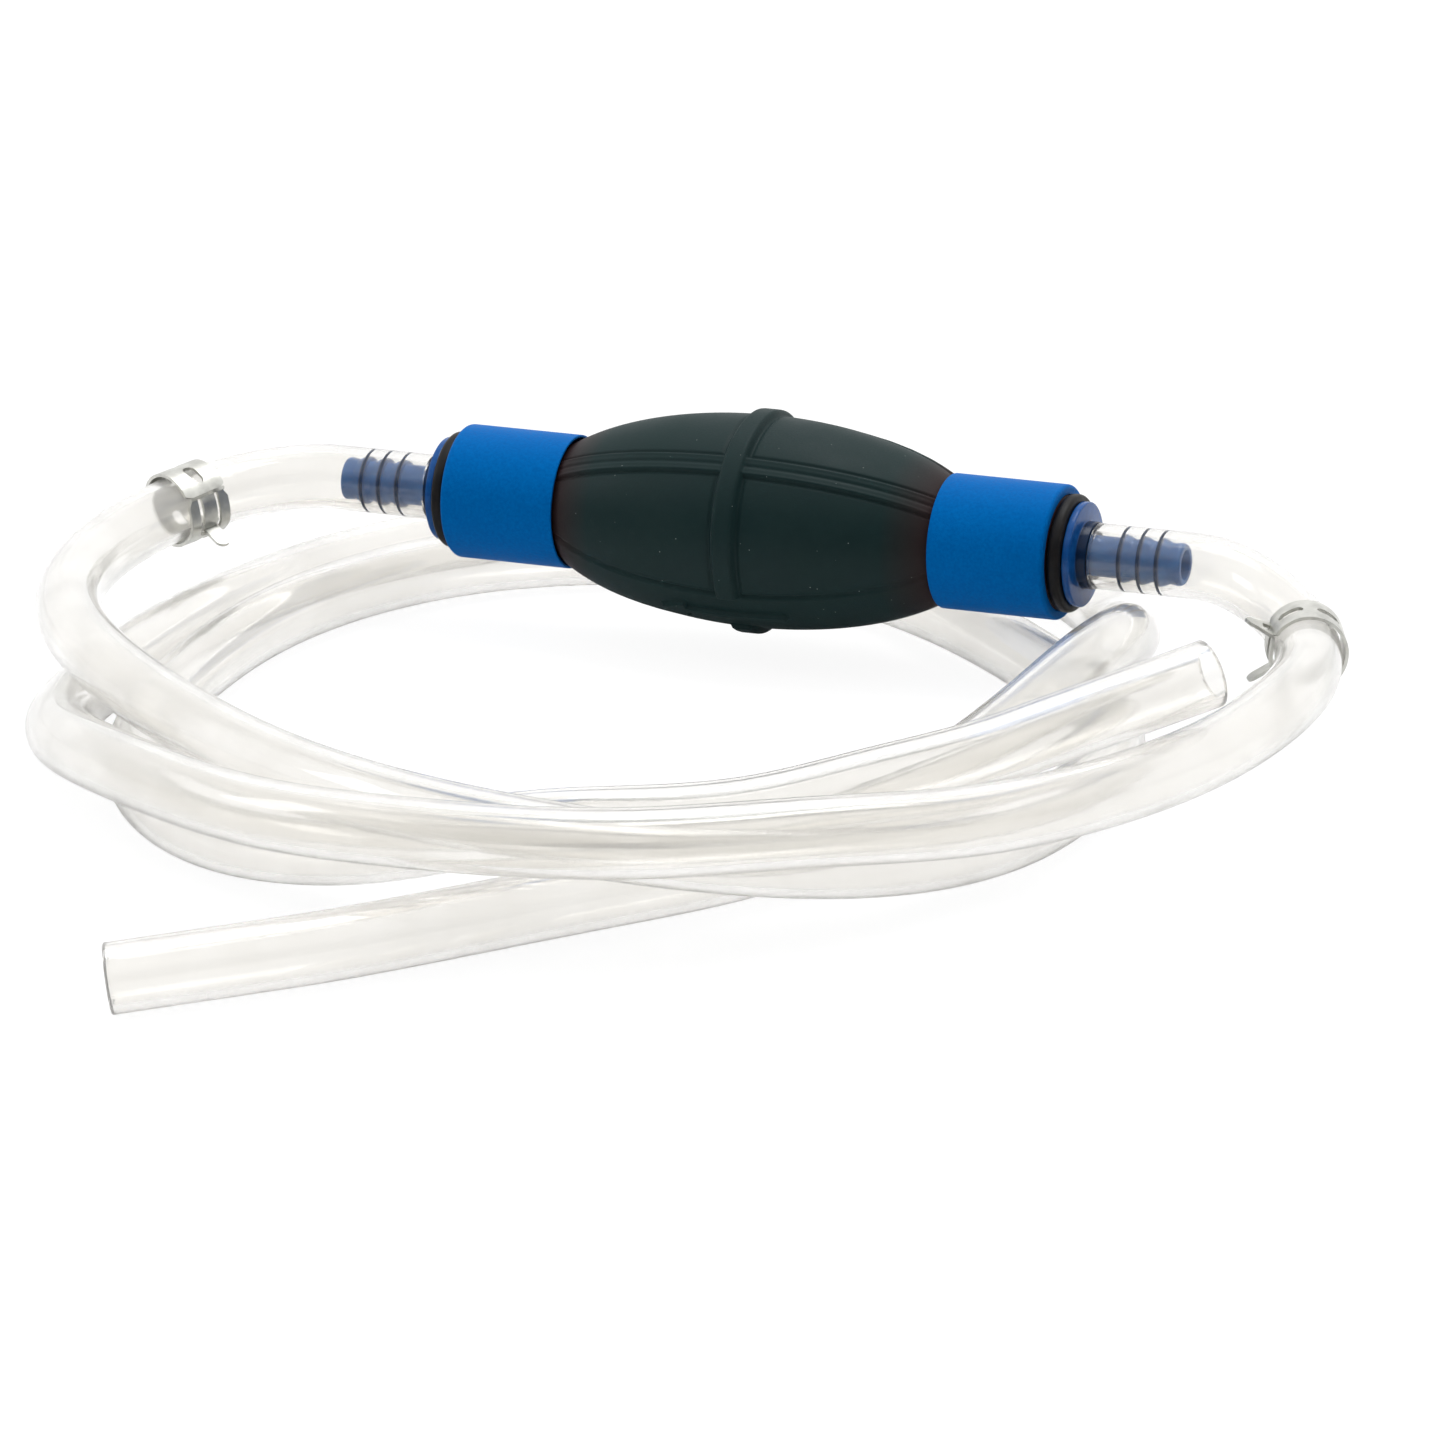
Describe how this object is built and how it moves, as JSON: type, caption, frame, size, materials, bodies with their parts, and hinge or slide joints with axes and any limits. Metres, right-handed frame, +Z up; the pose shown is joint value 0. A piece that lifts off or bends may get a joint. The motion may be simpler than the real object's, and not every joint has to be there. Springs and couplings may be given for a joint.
{
  "type": "hand siphon pump",
  "caption": "Hand-primed water siphon: ribbed rubber squeeze bulb between blue collars, barbed valve fittings and two coiled clear hoses with spring band clips.",
  "frame": {"origin": "on the floor, at the middle of the whole footprint, so the squeeze bulb lies behind it", "axes": "+X along the bulb's axis from outlet end to inlet end, +Y away from the coil's front, +Z up from the floor"},
  "size_m": [0.3293, 0.4349, 0.0616],
  "materials": {
    "black_rubber": "matt moulded rubber with fine grain",
    "seal_rubber": "smooth black rubber",
    "valve_rubber": "soft smooth rubber",
    "blue_plastic": "satin plastic with a fine orange-peel grain",
    "navy_plastic": "glossy, slightly see-through navy plastic",
    "white_plastic": "satin white plastic",
    "clear_hose": "clear soft hose, slightly milky",
    "spring_steel": "bright spring wire",
    "clip_steel": "zinc-plated spring strip"
  },
  "bodies": {
    "siphon": {"squeeze_bulb": "black_rubber", "inlet_collar": "blue_plastic", "inlet_seal_ring": "seal_rubber", "inlet_barb_fitting": "navy_plastic", "inlet_valve_seat": "white_plastic", "inlet_valve_cage": "white_plastic", "inlet_valve_spring": "spring_steel", "inlet_hose": "clear_hose", "outlet_collar": "blue_plastic", "outlet_seal_ring": "seal_rubber", "outlet_barb_fitting": "navy_plastic", "outlet_valve_seat": "white_plastic", "outlet_valve_cage": "white_plastic", "outlet_valve_spring": "spring_steel", "outlet_hose": "clear_hose"},
    "inlet_valve": {"inlet_valve_seal": "valve_rubber", "inlet_valve_poppet": "white_plastic"},
    "inlet_free_end": {"inlet_hose_tail": "clear_hose"},
    "inlet_clip_body": {"inlet_clip": "clip_steel"},
    "outlet_valve": {"outlet_valve_seal": "valve_rubber", "outlet_valve_poppet": "white_plastic"},
    "outlet_free_end": {"outlet_hose_tail": "clear_hose"},
    "outlet_clip_body": {"outlet_clip": "clip_steel"}
  },
  "joints": [
    {"name": "inlet_valve_lift", "type": "slide", "parent": "siphon", "child": "inlet_valve", "axis": [-1, 0, 0], "range_m": [0, 0.0025], "stiffness_N_per_m": 60, "springref_m": -0.002, "deforming": ["inlet_valve_spring"]},
    {"name": "outlet_valve_lift", "type": "slide", "parent": "siphon", "child": "outlet_valve", "axis": [-1, 0, 0], "range_m": [0, 0.0025], "stiffness_N_per_m": 60, "springref_m": -0.002, "deforming": ["outlet_valve_spring"]},
    {"name": "inlet_end_lift", "type": "hinge", "parent": "siphon", "child": "inlet_free_end", "pos_m": [-0.003, -0.1805, 0.016], "axis": [-0.7541, 0.6568, 0], "range_deg": [0, 25]},
    {"name": "outlet_end_lift", "type": "hinge", "parent": "siphon", "child": "outlet_free_end", "pos_m": [0.11872, -0.04977, 0.04179], "axis": [0.7035, -0.7107, 0], "range_deg": [0, 25]},
    {"name": "inlet_clip_turn", "type": "hinge", "parent": "siphon", "child": "inlet_clip_body", "pos_m": [0.14432, 0.08269, 0.02544], "axis": [0.4184, -0.9058, -0.0664], "range_deg": [-30, 30]},
    {"name": "outlet_clip_turn", "type": "hinge", "parent": "siphon", "child": "outlet_clip_body", "pos_m": [-0.15082, 0.09088, 0.02918], "axis": [-0.4454, -0.8837, -0.1439], "range_deg": [-30, 30]}
  ]
}
